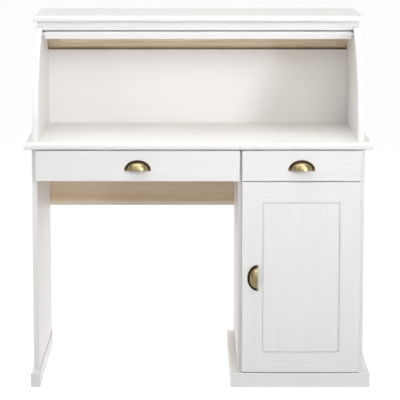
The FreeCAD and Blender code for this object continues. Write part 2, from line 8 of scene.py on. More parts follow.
import bmesh
import bpy
import numpy as np
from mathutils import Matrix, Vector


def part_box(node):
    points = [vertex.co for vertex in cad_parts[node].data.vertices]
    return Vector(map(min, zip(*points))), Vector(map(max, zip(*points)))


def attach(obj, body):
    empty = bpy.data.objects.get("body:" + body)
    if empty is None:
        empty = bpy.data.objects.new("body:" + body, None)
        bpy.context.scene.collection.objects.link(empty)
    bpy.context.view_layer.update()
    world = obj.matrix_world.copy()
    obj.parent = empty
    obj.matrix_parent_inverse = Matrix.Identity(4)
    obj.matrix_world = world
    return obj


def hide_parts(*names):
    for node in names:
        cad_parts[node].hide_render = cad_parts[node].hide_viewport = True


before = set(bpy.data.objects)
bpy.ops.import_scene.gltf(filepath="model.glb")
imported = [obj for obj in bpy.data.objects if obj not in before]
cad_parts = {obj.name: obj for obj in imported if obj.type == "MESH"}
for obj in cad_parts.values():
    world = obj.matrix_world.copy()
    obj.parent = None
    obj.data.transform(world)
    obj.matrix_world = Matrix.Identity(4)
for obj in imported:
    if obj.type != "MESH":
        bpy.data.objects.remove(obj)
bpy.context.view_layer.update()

MM = 0.001
log = logging.getLogger("desk")

Tree = bpy.types.NodeTree
Socket = bpy.types.NodeSocket
# Sockets by place, where their names are long or repeat: a range node's limits, and a colour mix node's.
LOW, HIGH, TO_LOW, TO_HIGH = 1, 2, 3, 4
SHARE, FIRST, SECOND, MIXED = 0, 6, 7, 2
# The axis that the roll front is bent about, in metres, and the step that brings it to the origin.
TRACK_AXIS = (0.0, 0.050024, 0.7885)
TO_TRACK = tuple(-place for place in TRACK_AXIS)


class Grain(Enum):
    """The axis that a board's grain runs along."""

    ACROSS = 0
    DEPTH = 1
    UPRIGHT = 2


def linear(colour: str) -> tuple[float, float, float, float]:
    """Turns an sRGB hex colour into linear light.

    Args:
        colour: The colour as "#RRGGBB".

    Returns:
        Red, green and blue in linear light, and full alpha.
    """
    part = np.array([int(colour[i:i + 2], 16) for i in (1, 3, 5)]) / 255
    light = np.where(part <= 0.04045, part / 12.92, ((part + 0.055) / 1.055) ** 2.4)
    return (*map(float, light), 1.0)


def add_node(tree: Tree, kind: str, inputs: dict | None = None, **settings: object) -> bpy.types.Node:
    """Adds a node with its settings and links.

    Args:
        tree: The node tree to add to.
        kind: The node's type name.
        inputs: For each input, by name or place, another node's output to link or a value to set.
        settings: Properties of the node itself.

    Returns:
        The new node.
    """
    made = tree.nodes.new(kind)
    for name, value in settings.items():
        setattr(made, name, value)
    for key, value in (inputs or {}).items():
        if isinstance(value, Socket):
            tree.links.new(value, made.inputs[key])
        else:
            made.inputs[key].default_value = value
    return made


def along_grain(grain: Grain, along: float, across: float) -> tuple[float, float, float]:
    """Gives one number per axis: one for the grain's axis, and another for the two axes across it."""
    return tuple(along if axis == grain.value else across for axis in range(3))


def growth_rings(tree: Tree, coords: Socket, grain: Grain, cut: int, ring_mm: float) -> Socket:
    """Adds the figure of a flat sawn pine board.

    The figure is a saw wave of the distance from a pith that lies outside the board and leans a little, so
    that the rings come out as long pointed arches. Coordinates along the grain are drawn out sixteen times.

    Args:
        tree: The material's node tree.
        coords: Object coordinates, in metres.
        grain: The axis that the grain runs along.
        cut: Which cut of the log the board is, so that neighbours differ.
        ring_mm: The width of one growth ring.

    Returns:
        The figure's output, from 0 for early wood to 1 for late wood.
    """
    # The pith lies 70 to 380 mm away, at a place that the golden section spreads evenly over the cuts.
    pith = tuple(0.07 + 0.31 * math.modf(0.618 * (cut + 1) * (axis + 1))[0] for axis in range(3))
    lean = along_grain(grain, 0.0, 0.13 + 0.05 * (cut % 3))
    mapped = add_node(tree, "ShaderNodeMapping", {
        "Vector": coords, "Location": pith, "Rotation": lean, "Scale": along_grain(grain, 1 / 16, 1.0)})
    # A wave of scale s repeats every 0.314 / s metres.
    wave = add_node(tree, "ShaderNodeTexWave", {
        "Vector": mapped.outputs[0], "Scale": 0.314 / (ring_mm * MM), "Distortion": 5.0, "Detail": 2.5,
        "Detail Scale": 0.9, "Detail Roughness": 0.55},
        wave_type="RINGS", rings_direction="XYZ"[grain.value], wave_profile="SAW")
    return wave.outputs["Fac"]


def streaks(tree: Tree, coords: Socket, grain: Grain, width_mm: float, length_mm: float,
            cut: int = 0) -> Socket:
    """Adds noise drawn out along the grain, one patch being a width across and a length along it.

    Args:
        tree: The material's node tree.
        coords: Object coordinates, in metres.
        grain: The axis that the grain runs along.
        width_mm: The width of a streak.
        length_mm: The length of a streak.
        cut: Which cut of the log the board is. Cuts lie a few patches apart, so that neighbours differ.

    Returns:
        The noise's output, from 0 to 1.
    """
    mapped = add_node(tree, "ShaderNodeMapping", {
        "Vector": coords, "Location": (7.3 * cut,) * 3,
        "Scale": along_grain(grain, 1 / (length_mm * MM), 1 / (width_mm * MM))})
    noise = add_node(tree, "ShaderNodeTexNoise", {
        "Vector": mapped.outputs[0], "Scale": 1.0, "Detail": 3.0, "Roughness": 0.6, "Distortion": 0.4})
    return noise.outputs["Fac"]


@dataclass(frozen=True)
class Finish:
    """A finish: the name of a real material, its sheen and relief, and the nodes that give its look.

    The roughness goes from its first limit to its second. A relief of less than 0 mm is sunk.
    """

    name: ClassVar[str] = ""
    roughness: ClassVar[tuple[float, float]] = (0.5, 0.5)
    relief_mm: ClassVar[float] = 0.0
    relief_strength: ClassVar[float] = 0.0

    def label(self) -> str:
        """Gives the material's name."""
        return self.name

    def lay(self, tree: Tree, coords: Socket) -> dict:
        """Adds the finish's pattern nodes.

        Args:
            tree: The material's node tree.
            coords: Object coordinates, in metres.

        Returns:
            A value or an output for each input of the shader that the finish sets.
        """
        raise NotImplementedError

    def coat(self, tree: Tree, tones: tuple[Socket, str, str], sheen: Socket,
             height: Socket | None = None) -> dict:
        """Adds what most finishes share: two tones, a sheen and a low relief.

        Args:
            tree: The material's node tree.
            tones: An output from 0 to 1, and the hex colours that it goes between.
            sheen: An output from 0 to 1 that the roughness follows.
            height: An output that the relief follows, if there is one.

        Returns:
            An output for each input of the shader that these set.
        """
        share, first, second = tones
        colour = add_node(tree, "ShaderNodeMix", {
            SHARE: share, FIRST: linear(first), SECOND: linear(second)}, data_type="RGBA")
        low, high = self.roughness
        rough = add_node(tree, "ShaderNodeMapRange", {"Value": sheen, TO_LOW: low, TO_HIGH: high})
        made = {"Base Color": colour.outputs[MIXED], "Roughness": rough.outputs[0]}
        if height is not None:
            bump = add_node(tree, "ShaderNodeBump", {
                "Height": height, "Strength": self.relief_strength, "Distance": abs(self.relief_mm) * MM},
                invert=self.relief_mm < 0)
            made["Normal"] = bump.outputs[0]
        return made

    def material(self) -> bpy.types.Material:
        """Makes the material, or finds it if it is made already.

        Returns:
            The material.
        """
        made = bpy.data.materials.get(self.label())
        if made is None:
            made = bpy.data.materials.new(self.label())
            made.use_nodes = True
            tree = made.node_tree
            tree.nodes.clear()
            coords = add_node(tree, "ShaderNodeTexCoord").outputs["Object"]
            shader = add_node(tree, "ShaderNodeBsdfPrincipled", self.lay(tree, coords))
            add_node(tree, "ShaderNodeOutputMaterial", {"Surface": shader.outputs[0]})
        return made


@dataclass(frozen=True)
class LacqueredPine(Finish):
    """White satin lacquer sprayed on planed pine.

    The eye sees an almost even white with a soft sheen. The wood shows through as broad faint streaks, with
    a grain line here and there that is a little greyer and lower than the wood beside it.
    """

    grain: Grain
    cut: int = 0
    face: str = "#EFEFEE"
    line: str = "#EDECEB"
    ring_mm: float = 11.0
    ring_share: float = 0.6
    streak_mm: float = 13.0
    streak_length_mm: float = 420.0
    streak_range: tuple[float, float] = (0.4, 0.72)
    pore_mm: float = 1.8
    pore_length_mm: float = 70.0
    pore_share: float = 0.5
    roughness = (0.36, 0.46)
    relief_mm = -0.06
    relief_strength = 0.18

    def label(self) -> str:
        """Gives the material's name."""
        return f"white_lacquered_pine_{self.grain.name.lower()}_{self.cut}"

    def lay(self, tree: Tree, coords: Socket) -> dict:
        """Adds the grain under the lacquer; see Finish.lay."""
        rings = growth_rings(tree, coords, self.grain, self.cut, self.ring_mm)
        broad = streaks(tree, coords, self.grain, self.streak_mm, self.streak_length_mm, self.cut)
        fine = streaks(tree, coords, self.grain, self.pore_mm, self.pore_length_mm, self.cut)
        low, high = self.streak_range
        patch = add_node(tree, "ShaderNodeMapRange", {"Value": broad, LOW: low, HIGH: high}).outputs[0]
        lines = add_node(tree, "ShaderNodeMath", {0: rings, 1: patch}, operation="MULTIPLY").outputs[0]
        share = add_node(tree, "ShaderNodeMath", {0: lines, 1: self.ring_share, 2: patch},
                         operation="MULTIPLY_ADD").outputs[0]
        depth = add_node(tree, "ShaderNodeMath", {0: fine, 1: self.pore_share, 2: lines},
                         operation="MULTIPLY_ADD").outputs[0]
        return {**self.coat(tree, (share, self.face, self.line), fine, depth), "IOR": 1.5}


@dataclass(frozen=True)
class RawPine(Finish):
    """Planed pine without paint.

    The eye sees pale straw early wood, darker amber late wood lines in long arches, redder heartwood in
    broad drifts, fine pores and a few brown knots.
    """

    grain: Grain
    cut: int = 0
    early: str = "#F0E2CC"
    late: str = "#E2C8A4"
    heart: str = "#DAB387"
    knot: str = "#7A5233"
    ring_mm: float = 7.0
    patch_mm: float = 17.5
    patch_length_mm: float = 450.0
    late_range: tuple[float, float] = (0.1, 0.65)
    pore_mm: float = 1.1
    pore_length_mm: float = 45.0
    pore_range: tuple[float, float] = (0.35, 0.7)
    pore_tone: tuple[float, float] = (0.93, 1.02)
    heart_mm: float = 70.0
    heart_length_mm: float = 1500.0
    heart_range: tuple[float, float] = (0.42, 0.72)
    heart_share: float = 0.75
    knot_cell_mm: float = 210.0
    knot_stretch: float = 0.55
    knot_mm: tuple[float, float] = (13.5, 5.4)
    roughness = (0.62, 0.5)
    relief_mm = 0.1
    relief_strength = 0.4

    def label(self) -> str:
        """Gives the material's name."""
        return f"planed_pine_{self.grain.name.lower()}_{self.cut}"

    def lay(self, tree: Tree, coords: Socket) -> dict:
        """Adds rings, heartwood, pores and knots; see Finish.lay."""
        rings = growth_rings(tree, coords, self.grain, self.cut, self.ring_mm)
        fine = streaks(tree, coords, self.grain, self.pore_mm, self.pore_length_mm, self.cut)
        drift = streaks(tree, coords, self.grain, self.heart_mm, self.heart_length_mm, self.cut)
        patch = streaks(tree, coords, self.grain, self.patch_mm, self.patch_length_mm, self.cut)
        late = add_node(tree, "ShaderNodeMath", {0: rings, 1: patch}, operation="MULTIPLY").outputs[0]
        low, high = self.late_range
        line = add_node(tree, "ShaderNodeMapRange", {"Value": late, LOW: low, HIGH: high}).outputs[0]
        sap = add_node(tree, "ShaderNodeMix", {
            SHARE: line, FIRST: linear(self.early), SECOND: linear(self.late)},
            data_type="RGBA").outputs[MIXED]
        low, high = self.heart_range
        red = add_node(tree, "ShaderNodeMapRange", {
            "Value": drift, LOW: low, HIGH: high, TO_HIGH: self.heart_share}).outputs[0]
        wood = add_node(tree, "ShaderNodeMix", {
            SHARE: red, FIRST: sap, SECOND: linear(self.heart)}, data_type="RGBA").outputs[MIXED]
        low, high = self.pore_range
        dark, light = self.pore_tone
        pores = add_node(tree, "ShaderNodeMapRange", {
            "Value": fine, LOW: low, HIGH: high, TO_LOW: dark, TO_HIGH: light}).outputs[0]
        toned = add_node(tree, "ShaderNodeVectorMath", {0: wood, "Scale": pores},
                         operation="SCALE").outputs[0]
        cells = add_node(tree, "ShaderNodeMapping", {
            "Vector": coords, "Scale": along_grain(self.grain, self.knot_stretch, 1.0)}).outputs[0]
        near = add_node(tree, "ShaderNodeTexVoronoi", {
            "Vector": cells, "Scale": 1 / (self.knot_cell_mm * MM)}).outputs["Distance"]
        outer, inner = self.knot_mm
        inside = add_node(tree, "ShaderNodeMapRange", {
            "Value": near, LOW: outer / self.knot_cell_mm, HIGH: inner / self.knot_cell_mm},
            interpolation_type="SMOOTHSTEP").outputs[0]
        colour = add_node(tree, "ShaderNodeMix", {
            SHARE: inside, FIRST: toned, SECOND: linear(self.knot)}, data_type="RGBA").outputs[MIXED]
        dull, glossy = self.roughness
        rough = add_node(tree, "ShaderNodeMapRange", {
            "Value": rings, TO_LOW: dull, TO_HIGH: glossy}).outputs[0]
        bump = add_node(tree, "ShaderNodeBump", {
            "Height": fine, "Strength": self.relief_strength, "Distance": self.relief_mm * MM}).outputs[0]
        return {"Base Color": colour, "Roughness": rough, "Normal": bump, "IOR": 1.45}


@dataclass(frozen=True)
class SlatPine(RawPine):
    """Planed pine slats, lacquered white on the side that faces out of the roll front and left raw inside.

    The eye sees the white lacquer stop at a line along the slats' edges, where the bare wood starts, and a
    painted shade that greys it in the valleys between the slats. Whether a place is outside, inside or in a
    valley follows from its distance from the centre of the track.
    """

    paint_radius: tuple[float, float] = (283.7, 284.3)
    valley_radius: tuple[float, float] = (295.2, 294.5)
    # The grey that the valleys between the slats are painted with, as shade.
    valley_shade: str = "#BAB6AE"

    def label(self) -> str:
        """Gives the material's name."""
        return f"half_lacquered_pine_slat_{self.cut}"

    def lay(self, tree: Tree, coords: Socket) -> dict:
        """Adds both sides and the line between them; see Finish.lay."""
        raw = RawPine.lay(self, tree, coords)
        paint = LacqueredPine(self.grain, self.cut).lay(tree, coords)
        centred = add_node(tree, "ShaderNodeMapping", {
            "Vector": coords, "Location": TO_TRACK, "Scale": (0, 1, 1)}).outputs[0]
        radius = add_node(tree, "ShaderNodeVectorMath", {0: centred}, operation="LENGTH").outputs["Value"]
        bare, painted = self.paint_radius
        outside = add_node(tree, "ShaderNodeMapRange", {
            "Value": radius, LOW: bare * MM, HIGH: painted * MM}).outputs[0]
        clean, fully_shaded = self.valley_radius
        valley = add_node(tree, "ShaderNodeMapRange", {
            "Value": radius, LOW: clean * MM, HIGH: fully_shaded * MM}).outputs[0]
        # Painted shade: the lacquer greys towards the valleys between the slats.
        valley_shaded = add_node(tree, "ShaderNodeMix", {
            SHARE: valley, FIRST: paint["Base Color"], SECOND: linear(self.valley_shade)},
            data_type="RGBA").outputs[MIXED]
        colour = add_node(tree, "ShaderNodeMix", {
            SHARE: outside, FIRST: raw["Base Color"], SECOND: valley_shaded}, data_type="RGBA").outputs[MIXED]
        rough = add_node(tree, "ShaderNodeMix", {
            "Factor": outside, "A": raw["Roughness"], "B": paint["Roughness"]}).outputs[0]
        return {"Base Color": colour, "Roughness": rough, "Normal": paint["Normal"], "IOR": 1.5}


@dataclass(frozen=True)
class Canvas(Finish):
    """Plain woven cotton canvas, glued.

    The eye sees a dull pinkish beige cloth with threads that go over and under each other, painted darker
    as shade where they dip between the crossings. A real thread is about 0.8 mm wide; it is drawn twice as
    wide, because a finer one wouldn't show.
    """

    name = "woven_cotton_canvas"
    track_radius: float = 280.4
    thread: str = "#EEDDC6"
    # The tone between the crossing threads, darker as painted shade.
    shaded_hollow: str = "#D0B99C"
    thread_mm: float = 1.6
    roughness = (0.82, 0.92)
    relief_mm = 0.2
    relief_strength = 0.6

    def lay(self, tree: Tree, coords: Socket) -> dict:
        """Adds the weave, one way across the strap and the other way along its arc; see Finish.lay."""
        centred = add_node(tree, "ShaderNodeMapping", {"Vector": coords, "Location": TO_TRACK}).outputs[0]
        parts = add_node(tree, "ShaderNodeSeparateXYZ", {0: centred}).outputs
        angle = add_node(tree, "ShaderNodeMath", {0: parts["Z"], 1: parts["Y"]},
                         operation="ARCTAN2").outputs[0]
        turns = math.pi / (self.thread_mm * MM)
        ways = [(parts["X"], turns), (angle, turns * self.track_radius * MM)]
        phases = [add_node(tree, "ShaderNodeMath", {0: way, 1: rate}, operation="MULTIPLY").outputs[0]
                  for way, rate in ways]
        waves = [add_node(tree, "ShaderNodeMath", {0: phase}, operation="SINE").outputs[0]
                 for phase in phases]
        over = add_node(tree, "ShaderNodeMath", {0: waves[0], 1: waves[1]}, operation="MULTIPLY").outputs[0]
        high = add_node(tree, "ShaderNodeMath", {0: over}, operation="ABSOLUTE").outputs[0]
        raised = add_node(tree, "ShaderNodeMath", {0: over, 1: 0.5, 2: 0.5},
                          operation="MULTIPLY_ADD").outputs[0]
        return {**self.coat(tree, (high, self.shaded_hollow, self.thread), raised, high), "IOR": 1.45}


@dataclass(frozen=True)
class Hardboard(Finish):
    """Pressed wood fibre board.

    The eye sees an even brown sheet with fine lighter and darker fibres and a dull press sheen.
    """

    name = "pressed_hardboard"
    base: str = "#9C7A55"
    fibre: str = "#7F5E3E"
    fibre_mm: float = 1.8
    fibre_range: tuple[float, float] = (0.38, 0.66)
    roughness = (0.5, 0.66)
    relief_mm = 0.1
    relief_strength = 0.3

    def lay(self, tree: Tree, coords: Socket) -> dict:
        """Adds matted fibres; see Finish.lay."""
        fibre = add_node(tree, "ShaderNodeTexNoise", {
            "Vector": coords, "Scale": 1 / (self.fibre_mm * MM), "Detail": 4.0,
            "Distortion": 1.4}).outputs["Fac"]
        low, high = self.fibre_range
        share = add_node(tree, "ShaderNodeMapRange", {"Value": fibre, LOW: low, HIGH: high}).outputs[0]
        return {**self.coat(tree, (share, self.base, self.fibre), fibre, fibre), "IOR": 1.5}


@dataclass(frozen=True)
class AntiqueBrass(Finish):
    """Stamped brass, blackened and then polished on its high places.

    The eye sees warm gold on the belly of the cup, fine brushing round it, and dark brown patina in the
    hollows, on the flange and round the screws. The piece's own attribute "patina" says how dark each place
    is.
    """

    name = "patinated_stamped_brass"
    gold: str = "#B7A67D"
    patina: str = "#443726"
    brush_mm: float = 0.9
    cloud_mm: float = 7.0
    cloud_range: tuple[float, float] = (0.3, 0.75)
    cloud_share: tuple[float, float] = (-0.12, 0.2)
    roughness = (0.34, 0.52)
    relief_mm = 0.05
    relief_strength = 0.12

    def lay(self, tree: Tree, coords: Socket) -> dict:
        """Adds patina, clouds and brushing; see Finish.lay."""
        dark = add_node(tree, "ShaderNodeAttribute", attribute_name="patina").outputs["Fac"]
        cloud = add_node(tree, "ShaderNodeTexNoise", {
            "Vector": coords, "Scale": 1 / (self.cloud_mm * MM), "Detail": 4.0,
            "Roughness": 0.65}).outputs["Fac"]
        low, high = self.cloud_range
        least, most = self.cloud_share
        drift = add_node(tree, "ShaderNodeMapRange", {
            "Value": cloud, LOW: low, HIGH: high, TO_LOW: least, TO_HIGH: most}).outputs[0]
        share = add_node(tree, "ShaderNodeMath", {0: dark, 1: drift},
                         operation="ADD", use_clamp=True).outputs[0]
        brushed = add_node(tree, "ShaderNodeTexNoise", {
            "Vector": coords, "Scale": 1 / (self.brush_mm * MM), "Detail": 2.0}).outputs["Fac"]
        return {**self.coat(tree, (share, self.gold, self.patina), share, brushed), "Metallic": 1.0}


@dataclass(frozen=True)
class ZincSteel(Finish):
    """Zinc plated pressed steel: the eye sees a bluish grey metal with a cloudy, softly mottled shine."""

    name = "zinc_plated_steel"
    light: str = "#C3C6C8"
    dark: str = "#9DA1A5"
    cloud_mm: float = 2.4
    roughness = (0.26, 0.44)

    def lay(self, tree: Tree, coords: Socket) -> dict:
        """Adds cloudy plating; see Finish.lay."""
        cloud = add_node(tree, "ShaderNodeTexNoise", {
            "Vector": coords, "Scale": 1 / (self.cloud_mm * MM), "Detail": 3.0}).outputs["Fac"]
        return {**self.coat(tree, (cloud, self.light, self.dark), cloud), "Metallic": 1.0}


@dataclass(frozen=True)
class MouldedPlastic(Finish):
    """Injection moulded white plastic: the eye sees a cool white with a fine spark eroded texture."""

    name = "moulded_polypropylene"
    light: str = "#EEEEEA"
    dark: str = "#E2E2DD"
    grit_mm: float = 0.7
    roughness = (0.4, 0.55)
    relief_mm = 0.05
    relief_strength = 0.3

    def lay(self, tree: Tree, coords: Socket) -> dict:
        """Adds the mould's texture; see Finish.lay."""
        grit = add_node(tree, "ShaderNodeTexNoise", {
            "Vector": coords, "Scale": 1 / (self.grit_mm * MM), "Detail": 2.0}).outputs["Fac"]
        return {**self.coat(tree, (grit, self.light, self.dark), grit, grit), "IOR": 1.49}


# Points this near to each other are one point, on a CAD node and on a new piece.
WELD_MM = 0.01
SEAM_MM = 0.002
# Edges that turn by more than this many degrees are sharp.
SHARP_DEGREES = 40


def dress(node: str, finish: Finish, ease_mm: float = 0.0) -> None:
    """Gives a CAD node its finish and eases its sharp edges.

    Args:
        node: The CAD node's name.
        finish: The finish that it shows.
        ease_mm: How far its sharp edges are broken, or 0 for an edge left as it is.
    """
    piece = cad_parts[node]
    piece.material_slots[0].material = finish.material()
    if ease_mm:
        piece.modifiers.new("weld", "WELD").merge_threshold = WELD_MM * MM
        ease = piece.modifiers.new("ease", "BEVEL")
        ease.width = ease_mm * MM
        ease.segments = 2
        ease.limit_method = "ANGLE"
        ease.angle_limit = math.radians(SHARP_DEGREES)
        piece.modifiers.new("shade", "WEIGHTED_NORMAL").keep_sharp = False
    log.info("%s: %s", node, finish.label())


def grid_quads(rows: int, columns: int) -> np.ndarray:
    """Gives the four corners of each cell of a grid of points that is closed along its columns.

    Args:
        rows: The number of rows of points.
        columns: The number of points in each row, the last of which is joined to the first.

    Returns:
        An array of point numbers, four to a cell.
    """
    row, column = np.meshgrid(np.arange(rows - 1), np.arange(columns), indexing="ij")
    beside = (column + 1) % columns
    cells = np.stack([row * columns + column, row * columns + beside,
                      (row + 1) * columns + beside, (row + 1) * columns + column], -1)
    return cells.reshape(-1, 4)


def make_piece(name: str, shells: list[np.ndarray], finish: Finish, body: str,
               patina: list[np.ndarray] | None = None) -> bpy.types.Object:
    """Makes one piece from closed shells.

    Each shell is a grid of points, closed along its columns, whose first and last rows may each shrink to one
    point. Points at one place are merged there, and the faces are turned to point outwards.

    Args:
        name: The piece's name.
        shells: For each shell, an array of rows, columns and the three coordinates in metres.
        finish: The finish that it shows.
        body: The body that it moves with.
        patina: For each shell, how dark each of its points is, from 0 to 1.

    Returns:
        The piece's object.
    """
    starts = np.cumsum([0] + [shell.shape[0] * shell.shape[1] for shell in shells])
    points = np.concatenate([shell.reshape(-1, 3) for shell in shells])
    quads = np.concatenate([grid_quads(*shell.shape[:2]) + start for shell, start in zip(shells, starts)])
    mesh = bpy.data.meshes.new(name)
    mesh.from_pydata(points, [], quads)
    if patina is not None:
        dark = np.concatenate([values.ravel() for values in patina])
        mesh.attributes.new("patina", "FLOAT", "POINT").data.foreach_set("value", dark.astype(np.float32))
    work = bmesh.new()
    work.from_mesh(mesh)
    bmesh.ops.remove_doubles(work, verts=work.verts, dist=SEAM_MM * MM)
    bmesh.ops.recalc_face_normals(work, faces=work.faces)
    work.to_mesh(mesh)
    work.free()
    mesh.polygons.foreach_set("use_smooth", np.ones(len(mesh.polygons), bool))
    mesh.materials.append(finish.material())
    piece = bpy.data.objects.new(name, mesh)
    bpy.context.scene.collection.objects.link(piece)
    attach(piece, body)
    log.info("%s: %d points, %s", name, len(mesh.vertices), finish.label())
    return piece


def lathe(profile: np.ndarray, steps: int) -> np.ndarray:
    """Turns a profile about the Y axis.

    A point of the profile is its distance from the axis and its place along it. Row i, column j of the result
    is profile point i at angle j of a full turn.

    Args:
        profile: Pairs of distance and place, from one pole to the other.
        steps: The number of points round the axis.

    Returns:
        An array of rows, columns and the three coordinates.
    """
    angle = np.linspace(0, 2 * np.pi, steps, endpoint=False)
    across = profile[:, :1] * np.cos(angle)
    up = profile[:, :1] * np.sin(angle)
    along = np.broadcast_to(profile[:, 1:], across.shape)
    return np.stack([across, along, up], -1)


def slotted_head(radius: float, rim: float, crown: float, slot: float) -> np.ndarray:
    """Works a screw head out as a dome with a slot.

    A square grid is drawn onto a disc. The height is a low dome, less a slot with steep walls across the
    middle. The wall goes straight down from the rim to the seat.

    Args:
        radius: The head's radius.
        rim: The height of its rim above its seat.
        crown: How much higher its middle is.
        slot: The depth of the slot.

    Returns:
        An array of rows, columns and the three coordinates, with the seat at 0 and the head towards -Y.
    """
    # The slot's walls stand between 0.14 and 0.16 of the radius, with a row of points on each side of them.
    spread = np.concatenate([np.linspace(-1, -0.2, 9), [-0.16, -0.14, 0.14, 0.16], np.linspace(0.2, 1, 9)])
    s, t = np.meshgrid(spread, np.linspace(-1, 1, 22), indexing="ij")
    x = s * np.sqrt(1 - t ** 2 / 2)
    z = t * np.sqrt(1 - s ** 2 / 2)
    dome = np.sqrt(np.clip(1 - 0.9 * (x ** 2 + z ** 2), 0, 1))
    height = rim + crown * dome - slot * (np.abs(s) < 0.15)
    top = np.stack([x * radius, -height, z * radius], -1)
    loops = np.concatenate([top, (top * [1, 0, 1])[:, ::-1]], 1)
    # Each end loop is folded flat onto its middle line, which closes the wall there.
    ends = [((loops[i] + loops[i][::-1]) / 2)[None] for i in (0, -1)]
    return np.concatenate([ends[0], loops, ends[1]])


# Heads in millimetres: a panel pin's, a screw's flush in a runner, flush in a plate, and proud on the catch.
PIN_HEAD = lathe(np.array([[0, 0], [1.5, 0], [1.5, -0.15], [1.3, -0.32], [0.8, -0.4], [0, -0.42]]), 16)
RUNNER_SCREW = slotted_head(radius=3.0, rim=0.12, crown=0.08, slot=0.15)
PLATE_SCREW = slotted_head(radius=2.6, rim=0.1, crown=0.06, slot=0.12)
CATCH_SCREW = slotted_head(radius=3.0, rim=0.5, crown=0.5, slot=0.4)
# A pull's flange from its back edge over a rounded edge and a bead to the foot of the cup, as a share of the
# flange's width and a height in millimetres, and its ear as a share of the ear's radius and a height.
FLANGE = np.array([[1.0, 0.0], [1.0, 0.6], [0.96, 1.1], [0.88, 1.45], [0.78, 1.6], [0.68, 1.5], [0.58, 1.2],
                   [0.44, 1.0], [0.3, 1.0], [0.18, 1.1], [0.1, 1.35]])
EAR = np.array([[0, 0], [0.99, 0], [1, 0.5], [0.97, 1.0], [0.88, 1.35], [0.74, 1.5], [0, 1.5]])


class Facing(Enum):
    """The way that a screw or nail head looks, as a step out of its seat along X, Y and Z."""

    BACK = (0, 1, 0)
    UP = (0, 0, 1)
    DOWN = (0, 0, -1)
    LEFT = (-1, 0, 0)
    RIGHT = (1, 0, 0)


def seated(head: np.ndarray, facing: Facing, places: np.ndarray) -> list[np.ndarray]:
    """Turns a head the way it faces and puts one at each place.

    Args:
        head: The head in millimetres, with its seat at 0 and the head towards -Y.
        facing: The way that it looks.
        places: The seats' middles, in metres.

    Returns:
        A shell for each place, in metres.
    """
    out = np.array(facing.value, float)
    side = np.roll(out, 1)
    axes = np.stack([side, -out, np.cross(side, out)])
    return [head @ axes * MM + place for place in places]


def spaced(start: tuple[float, float, float], end: tuple[float, float, float], count: int) -> np.ndarray:
    """Gives evenly spaced places from a start to an end, both included."""
    return np.linspace(start, end, count)


